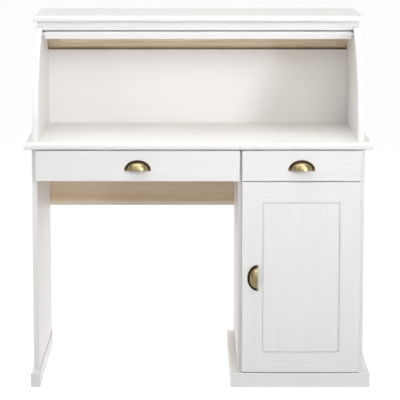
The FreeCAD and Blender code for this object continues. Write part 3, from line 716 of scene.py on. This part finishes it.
@dataclass
class CupPull:
    """A cup pull: a domed cup, a flange round it, and a screw in an ear at each end. Sizes are in mm."""

    node: str
    body: str
    upright: bool
    half_span: float = 32.5
    rise: float = 25.2
    flange_end: float = 8.0
    flange_top: float = 5.8
    fullness: float = 2.5
    wall: float = 1.4
    ear: float = 4.5
    ear_reach: float = 36.5
    ear_drop: float = 3.0
    screw: float = 3.1
    end_angle: float = 84.0
    foot: float = 1.5
    mouth: float = 0.9
    lip: float = 0.85
    stations: int = 61
    belly_steps: int = 22
    lip_steps: int = 9

    def section(self, height: np.ndarray, lean: np.ndarray) -> tuple[np.ndarray, np.ndarray]:
        """Works out a quarter of a superellipse, which is a little fuller than a quarter circle.

        Args:
            height: Its reach at each station, both up and out.
            lean: Its parameter, from 0 at the top to a quarter turn at the front.

        Returns:
            The places along Y and Z.
        """
        power = 2 / self.fullness
        return -height * np.sin(lean) ** power, height * np.cos(lean) ** power

    def cup(self) -> np.ndarray:
        """Works the cup and flange out as a closed section carried along an arch.

        The arch is half an ellipse, less a few degrees at each end. At each station the section runs over the
        flange with its bead, over the outside of the cup, round the lip and back inside. The flange lies
        between two ellipses.

        Returns:
            The points, one row to each station and one row that closes each end.
        """
        limit = math.radians(self.end_angle)
        turn = np.linspace(-limit, limit, self.stations)[:, None]
        x = self.half_span * np.sin(turn)
        height = self.rise * np.cos(turn)
        out, front = FLANGE.T
        flange = np.stack([(self.half_span + self.flange_end * out) * np.sin(turn),
                           np.broadcast_to(-front, (self.stations, len(out))),
                           (self.rise + self.flange_top * out) * np.cos(turn)], -1)
        share = np.linspace(0, 1, self.belly_steps)
        first = np.arcsin(np.clip(self.foot / height, 0, 0.8) ** (self.fullness / 2))
        last = np.arccos(np.clip(self.mouth / height, 0, 0.9) ** (self.fullness / 2))
        lean = first + (last - first) * share
        outside = np.stack([np.broadcast_to(x, lean.shape), *self.section(height, lean)], -1)
        # The lip swells out a little and turns under.
        curl = np.linspace(0.15, 0.8, self.lip_steps) * np.pi
        edge = -self.section(height, last)[0] - self.wall / 2
        swell = -edge - self.lip * np.cos(curl)
        lip = np.stack([np.broadcast_to(x, swell.shape), swell,
                        np.broadcast_to(self.lip - self.lip * np.sin(curl), swell.shape)], -1)
        back = last * share[::-1]
        inner = np.maximum(height - self.wall, 0.4)
        inside = np.stack([np.broadcast_to(x, back.shape), *self.section(inner, back)], -1)
        shell = np.concatenate([flange, outside, lip, inside], 1)
        ends = [np.broadcast_to(shell[i].mean(0), shell[i].shape)[None] for i in (0, -1)]
        return np.concatenate([ends[0], shell, ends[1]])

    def patina(self) -> np.ndarray:
        """Works out how dark the cup is.

        Flange and inside are dark. The belly is bare from a little below its foot, the lip nearly so, and the
        last quarter towards each end darkens.

        Returns:
            A number from 0 to 1 for each point of the cup.
        """
        foot = np.clip(1.55 - 4.6 * np.linspace(0, 1, self.belly_steps), 0, 1)
        section = np.concatenate([np.full(len(FLANGE), 0.97), 0.92 * foot, np.full(self.lip_steps, 0.3),
                                  np.full(self.belly_steps, 0.85)])
        along = np.abs(np.linspace(-1, 1, self.stations + 2))[:, None]
        return np.clip(section + 4 * np.clip(along - 0.74, 0, 1), 0, 1)

    def ends(self, shape: np.ndarray) -> list[np.ndarray]:
        """Puts a shape at the middle of each ear."""
        return [shape + [side * self.ear_reach, 0, self.ear - self.ear_drop] for side in (-1, 1)]

    def ears(self) -> list[np.ndarray]:
        """Works the two ears out as flat discs with a rounded edge, turned about their screws."""
        return self.ends(lathe(EAR * [self.ear, -1], 40))

    def screws(self) -> list[np.ndarray]:
        """Works the screw heads out, one on each ear."""
        return self.ends(slotted_head(self.screw, rim=1.45, crown=1.1, slot=0.8))

    def placed(self, points: np.ndarray) -> np.ndarray:
        """Moves points from the pull's own place to the CAD node's, in metres.

        Args:
            points: Points in millimetres, mouth down at height 0 and the back at depth 0.

        Returns:
            The points in metres, turned a quarter for a door, where the mouth opens to the right.
        """
        low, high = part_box(self.node)
        if self.upright:
            points = np.stack([-points[..., 2], points[..., 1], points[..., 0]], -1)
            place = (high[0] - self.ear_drop * MM, high[1], (low[2] + high[2]) / 2)
        else:
            place = ((low[0] + high[0]) / 2, high[1], low[2] + self.ear_drop * MM)
        return points * MM + np.array(place)

    def build(self) -> None:
        """Makes the cup with its ears in place of the CAD node, and its two screws."""
        ears = self.ears()
        shells = [self.placed(shape) for shape in (self.cup(), *ears)]
        patina = [self.patina()] + [np.ones(ear.shape[:2]) for ear in ears]
        piece = make_piece(f"{self.node}_cup", shells, AntiqueBrass(), self.body, patina)
        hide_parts(self.node)
        heads = [self.placed(head) for head in self.screws()]
        make_piece(f"{self.node}_screws", heads, AntiqueBrass(), self.body,
                   [np.full(head.shape[:2], 0.5) for head in heads])


@dataclass
class Carcass:
    """The fixed boards under the desk top, and the desk top itself."""

    ease_mm: float = 0.8
    pin_inset_mm: float = 14.0
    pin_count: int = 5

    def build(self) -> None:
        """Dresses the panels, the plinth, the back rail and the desk top."""
        boards = {
            Grain.UPRIGHT: ("left_leg_panel", "pedestal_inner_panel", "pedestal_outer_panel"),
            Grain.ACROSS: ("pedestal_floor", "pedestal_divider", "pedestal_shelf", "plinth_front",
                           "plinth_back", "desk_top"),
            Grain.DEPTH: ("plinth_left", "plinth_right", "left_foot_runner"),
        }
        for grain, nodes in boards.items():
            for cut, node in enumerate(nodes, 1):
                dress(node, LacqueredPine(grain, cut), self.ease_mm)
        dress("kneehole_back_rail", RawPine(Grain.ACROSS, 1), self.ease_mm)
        # The lipping is white lacquer; its cream tint is painted warm bounce light and shade from the bare
        # pine rail.
        bounce_tinted_lacquer = LacqueredPine(Grain.ACROSS, 15, face="#F7EBD5", line="#F1E2C8")
        dress("kneehole_rail_lipping", bounce_tinted_lacquer, self.ease_mm)
        dress("pedestal_back", Hardboard())
        dress("shelf_pins", ZincSteel())
        self.pins()

    def pins(self) -> None:
        """Makes the pins that hold the thin back to the pedestal's floor and divider."""
        low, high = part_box("pedestal_back")
        heads = []
        for board in ("pedestal_floor", "pedestal_divider"):
            height = (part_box(board)[0][2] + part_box(board)[1][2]) / 2
            row = spaced((low[0] + self.pin_inset_mm * MM, high[1], height),
                         (high[0] - self.pin_inset_mm * MM, high[1], height), self.pin_count)
            heads += seated(PIN_HEAD, Facing.BACK, row)
        make_piece("pedestal_back_pins", heads, ZincSteel(), "carcass")


@dataclass
class Drawer:
    """One drawer, and the two wooden runners that it slides on."""

    name: str
    cut: int
    ease_mm: float = 0.6
    screw_inset_mm: float = 40.0
    pin_inset_mm: float = 10.0
    screw_count: int = 3
    side_pins: int = 3
    bottom_pins: int = 4

    def build(self) -> None:
        """Dresses the front, the box and the runners."""
        dress(f"{self.name}_front", LacqueredPine(Grain.ACROSS, self.cut), self.ease_mm)
        dress(f"{self.name}_bottom", Hardboard())
        for side in ("left", "right"):
            dress(f"{self.name}_side_{side}", RawPine(Grain.DEPTH, self.cut), self.ease_mm)
            dress(f"{self.name}_runner_{side}", RawPine(Grain.DEPTH, self.cut + 1), self.ease_mm)
        dress(f"{self.name}_back", RawPine(Grain.ACROSS, self.cut), self.ease_mm)
        self.screws()
        self.pins()

    def screws(self) -> None:
        """Makes three flat screws in each runner, on the side that faces the drawer."""
        heads = []
        for side, facing, face in (("left", Facing.RIGHT, 1), ("right", Facing.LEFT, 0)):
            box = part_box(f"{self.name}_runner_{side}")
            height = (box[0][2] + box[1][2]) / 2
            inset = self.screw_inset_mm * MM
            across = box[face][0]
            row = spaced((across, box[0][1] + inset, height), (across, box[1][1] - inset, height),
                         self.screw_count)
            heads += seated(RUNNER_SCREW, facing, row)
        make_piece(f"{self.name}_runner_screws", heads, ZincSteel(), "carcass")

    def pins(self) -> None:
        """Makes the pins that hold the drawer's sides and its bottom to its back."""
        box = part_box(f"{self.name}_back")
        depth = (box[0][1] + box[1][1]) / 2
        inset = self.pin_inset_mm * MM
        heads = []
        for side, facing, face in (("left", Facing.LEFT, 0), ("right", Facing.RIGHT, 1)):
            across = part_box(f"{self.name}_side_{side}")[face][0]
            column = spaced((across, depth, box[0][2] + inset), (across, depth, box[1][2] - inset),
                            self.side_pins)
            heads += seated(PIN_HEAD, facing, column)
        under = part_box(f"{self.name}_bottom")[0][2]
        row = spaced((box[0][0] + 4 * inset, depth, under), (box[1][0] - 4 * inset, depth, under),
                     self.bottom_pins)
        heads += seated(PIN_HEAD, Facing.DOWN, row)
        make_piece(f"{self.name}_pins", heads, ZincSteel(), self.name)


@dataclass
class Door:
    """The framed cupboard door with its pivots and catch."""

    ease_mm: float = 0.6
    screw_inset_mm: float = 5.5
    plate_mm: float = 1.6

    def build(self) -> None:
        """Dresses the frame, the panel and the fittings."""
        dress("door_hinge_stile", LacqueredPine(Grain.UPRIGHT, 4), self.ease_mm)
        dress("door_latch_stile", LacqueredPine(Grain.UPRIGHT, 5), self.ease_mm)
        dress("door_top_rail", LacqueredPine(Grain.ACROSS, 7), self.ease_mm)
        dress("door_bottom_rail", LacqueredPine(Grain.ACROSS, 8), self.ease_mm)
        dress("door_panel", LacqueredPine(Grain.UPRIGHT, 6), self.ease_mm)
        for node in ("door_pivot_lower", "door_pivot_upper", "door_strike"):
            dress(node, ZincSteel())
        dress("door_catch", MouldedPlastic(), self.ease_mm)
        self.screws()

    def screws(self) -> None:
        """Makes the flat screws in the strike, the catch and the two pivot plates."""
        inset = self.screw_inset_mm * MM
        low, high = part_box("door_strike")
        middle = (low[2] + high[2]) / 2
        row = spaced((low[0] + inset, high[1], middle), (high[0] - inset, high[1], middle), 2)
        make_piece("door_strike_screws", seated(PLATE_SCREW, Facing.BACK, row), ZincSteel(), "door")
        low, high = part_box("door_catch")
        depth = (low[1] + high[1]) / 2
        row = spaced((low[0] + inset, depth, low[2]), (high[0] - inset, depth, low[2]), 2)
        heads = seated(CATCH_SCREW, Facing.DOWN, row)
        low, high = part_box("door_pivot_lower")
        across = low[0] + inset
        column = spaced((across, low[1] + inset, low[2] + self.plate_mm * MM),
                        (across, high[1] - inset, low[2] + self.plate_mm * MM), 2)
        heads += seated(PLATE_SCREW, Facing.UP, column)
        low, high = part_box("door_pivot_upper")
        depth = high[1] - 2 * inset
        row = spaced((low[0] + inset, depth, high[2]), (high[0] - inset, depth, high[2]), 2)
        heads += seated(PLATE_SCREW, Facing.UP, row)
        make_piece("door_fitting_screws", heads, ZincSteel(), "carcass")


@dataclass
class Hutch:
    """The upper case that the roll front runs in."""

    ease_mm: float = 0.8

    def build(self) -> None:
        """Dresses the sides, the top, the front rail and the two backs."""
        dress("hutch_left_side", LacqueredPine(Grain.UPRIGHT, 7), self.ease_mm)
        dress("hutch_right_side", LacqueredPine(Grain.UPRIGHT, 8), self.ease_mm)
        dress("hutch_top", LacqueredPine(Grain.ACROSS, 9), self.ease_mm)
        dress("hutch_front_rail", LacqueredPine(Grain.ACROSS, 10), self.ease_mm)
        dress("hutch_inner_back", LacqueredPine(Grain.ACROSS, 11), self.ease_mm)
        dress("hutch_back", RawPine(Grain.ACROSS, 4))


@dataclass
class RollFront:
    """The slatted roll front: a lead rail, ten slats and the straps behind them."""

    slats: int = 10
    ease_mm: float = 0.5

    def build(self) -> None:
        """Dresses the lead rail, the slats and the straps."""
        dress("tambour_lead_rail", LacqueredPine(Grain.ACROSS, 12), self.ease_mm)
        for index in range(1, self.slats + 1):
            dress(f"tambour_slat_{index:02d}", SlatPine(Grain.ACROSS, 5 + index % 4), self.ease_mm)
        dress("tambour_straps", Canvas())


@dataclass(frozen=True)
class Lamp:
    """A soft box lamp that points at a target.

    Places and sizes are in metres, the power is in watts, and the spread is the angle in degrees that its
    grid lets light out in. A lamp that only shines shows in glossy surfaces and gives no other light.
    """

    name: str
    place: tuple[float, float, float]
    target: tuple[float, float, float]
    size: tuple[float, float]
    power: float
    spread: float = 180.0
    colour: str = "#FFFFFF"
    only_shines: bool = False

    def build(self) -> None:
        """Hangs the lamp up where the camera doesn't see it."""
        data = bpy.data.lights.new(self.name, "AREA")
        data.shape = "RECTANGLE"
        data.spread = math.radians(self.spread)
        data.size, data.size_y = self.size
        data.energy = self.power
        data.color = linear(self.colour)[:3]
        lamp = bpy.data.objects.new(self.name, data)
        lamp.visible_camera = False
        lamp.visible_diffuse = not self.only_shines
        lamp.location = self.place
        way = Vector(self.target) - Vector(self.place)
        lamp.rotation_euler = way.to_track_quat("-Z", "Y").to_euler()
        bpy.context.scene.collection.objects.link(lamp)


LAMPS = (
    Lamp("key", (3.1, -4.2, 1.9), (0.1, 0, 0.85), (0.7, 3.0), 6.6, 40, "#F8F9FF"),
    Lamp("front", (0.4, -4.2, 2.8), (0, 0, 1.15), (3.2, 2.0), 5.6, 40, "#FFFCF3"),
    Lamp("overhead", (-0.2, -0.5, 3.9), (0, -0.1, 0.7), (4.4, 4.4), 134),
    Lamp("left", (-2.8, -3.6, 2.6), (0.6, 0, 0.6), (1.6, 1.6), 2.4, 60),
    Lamp("back", (-0.2, 4.2, 0.9), (-0.2, 0, 0.45), (8.0, 1.2), 62, 150, "#FFF6EA"),
    # A tall strip draws the upright highlight on the pulls.
    Lamp("strip", (1.365, -2.24, 2.94), (0.2, -0.3, 0.68), (0.26, 6.0), 34, only_shines=True),
)


@dataclass
class Studio:
    """A plain pale floor, soft light and the camera at the photograph's place."""

    floor_half: float = 40.0
    floor_colour: str = "#626262"
    glow_back: float = 0.97
    glow_front: float = 0.88
    sweep_front: float = -0.27
    sweep_length: float = 1.6
    sky: float = 0.05
    sky_under: float = 0.58
    horizon_band: float = 0.16
    under_band: tuple[float, float] = (-0.08, -0.04)
    lens: float = 184.1
    sensor: float = 36.0
    camera_place: tuple[float, float, float] = (-0.0272, -6.443, 1.565)
    camera_down: float = 8.29
    shift: tuple[float, float] = (0.0268, -0.07)

    def paper(self) -> bpy.types.Material:
        """Makes the floor's white paper, lit from within like a light table and less so towards the front.

        Returns:
            The material.
        """
        material = bpy.data.materials.new("white_paper_sweep")
        material.use_nodes = True
        tree = material.node_tree
        place = add_node(tree, "ShaderNodeTexCoord").outputs["Object"]
        back = add_node(tree, "ShaderNodeSeparateXYZ", {0: place}).outputs["Y"]
        glow = add_node(tree, "ShaderNodeMapRange", {
            "Value": back, LOW: self.sweep_front - self.sweep_length, HIGH: self.sweep_front,
            TO_LOW: self.glow_front, TO_HIGH: self.glow_back}, interpolation_type="SMOOTHSTEP").outputs[0]
        shader = tree.nodes["Principled BSDF"]
        shader.inputs["Base Color"].default_value = linear(self.floor_colour)
        shader.inputs["Roughness"].default_value = 0.9
        shader.inputs["Specular IOR Level"].default_value = 0.0
        shader.inputs["Emission Color"].default_value = (1, 1, 1, 1)
        tree.links.new(glow, shader.inputs["Emission Strength"])
        return material

    def floor(self, name: str, start: float, end: float, material: bpy.types.Material) -> bpy.types.Object:
        """Lays one strip of the floor at height 0.

        Args:
            name: The strip's name.
            start: Its front edge along Y, in metres.
            end: Its back edge along Y.
            material: What it is made of.

        Returns:
            The strip's object.
        """
        side = self.floor_half
        mesh = bpy.data.meshes.new(name)
        corners = [(-side, start, 0), (side, start, 0), (side, end, 0), (-side, end, 0)]
        mesh.from_pydata(corners, [], [(0, 1, 2, 3)])
        mesh.materials.append(material)
        strip = bpy.data.objects.new(name, mesh)
        bpy.context.scene.collection.objects.link(strip)
        return strip

    def camera(self) -> None:
        """Sets the camera up level from side to side, looking a little down."""
        data = bpy.data.cameras.new("camera")
        data.lens = self.lens
        data.sensor_width = self.sensor
        data.shift_x, data.shift_y = self.shift
        data.clip_end = 200.0
        camera = bpy.data.objects.new("camera", data)
        camera.location = self.camera_place
        camera.rotation_euler = (math.radians(90 - self.camera_down), 0, 0)
        bpy.context.scene.collection.objects.link(camera)
        bpy.context.scene.camera = camera

    def sky_light(self) -> bpy.types.World:
        """Makes the sky: as bright as the floor along the horizon, dim above and half as bright below.

        Returns:
            The world.
        """
        world = bpy.data.worlds.new("studio")
        world.use_nodes = True
        tree = world.node_tree
        way = add_node(tree, "ShaderNodeTexCoord").outputs["Generated"]
        up = add_node(tree, "ShaderNodeSeparateXYZ", {0: way}).outputs["Z"]
        above = add_node(tree, "ShaderNodeMapRange", {
            "Value": up, HIGH: self.horizon_band, TO_LOW: self.glow_back, TO_HIGH: self.sky},
            interpolation_type="SMOOTHSTEP").outputs[0]
        low, high = self.under_band
        below = add_node(tree, "ShaderNodeMapRange", {
            "Value": up, LOW: low, HIGH: high, TO_LOW: self.sky_under, TO_HIGH: self.glow_back}).outputs[0]
        glow = add_node(tree, "ShaderNodeMath", {0: above, 1: below}, operation="MINIMUM").outputs[0]
        tree.nodes["Background"].inputs["Color"].default_value = (1, 1, 1, 1)
        tree.links.new(glow, tree.nodes["Background"].inputs["Strength"])
        return world

    def build(self) -> None:
        """Sets up camera, floor, sky and lamps."""
        scene = bpy.context.scene
        scene.view_settings.view_transform = "Standard"
        self.camera()
        material = self.paper()
        self.floor("floor_back", self.sweep_front, self.floor_half, material)
        front = self.floor("floor_front", -self.floor_half, self.sweep_front, material)
        # The front strip only shows. It throws no light up at the desk; the sky's dimmer under side does.
        front.visible_diffuse = False
        front.visible_glossy = False
        front.visible_shadow = False
        scene.world = self.sky_light()
        for lamp in LAMPS:
            lamp.build()


def main() -> None:
    """Builds the studio and dresses each sub-assembly in turn."""
    logging.basicConfig(level=logging.INFO, format="%(message)s")
    Studio().build()
    Carcass().build()
    Drawer("wide_drawer", 13).build()
    Drawer("narrow_drawer", 14).build()
    Door().build()
    CupPull("wide_drawer_pull", "wide_drawer", False).build()
    CupPull("narrow_drawer_pull", "narrow_drawer", False).build()
    CupPull("door_pull", "door", True).build()
    Hutch().build()
    RollFront().build()


if __name__ == "__main__":
    main()
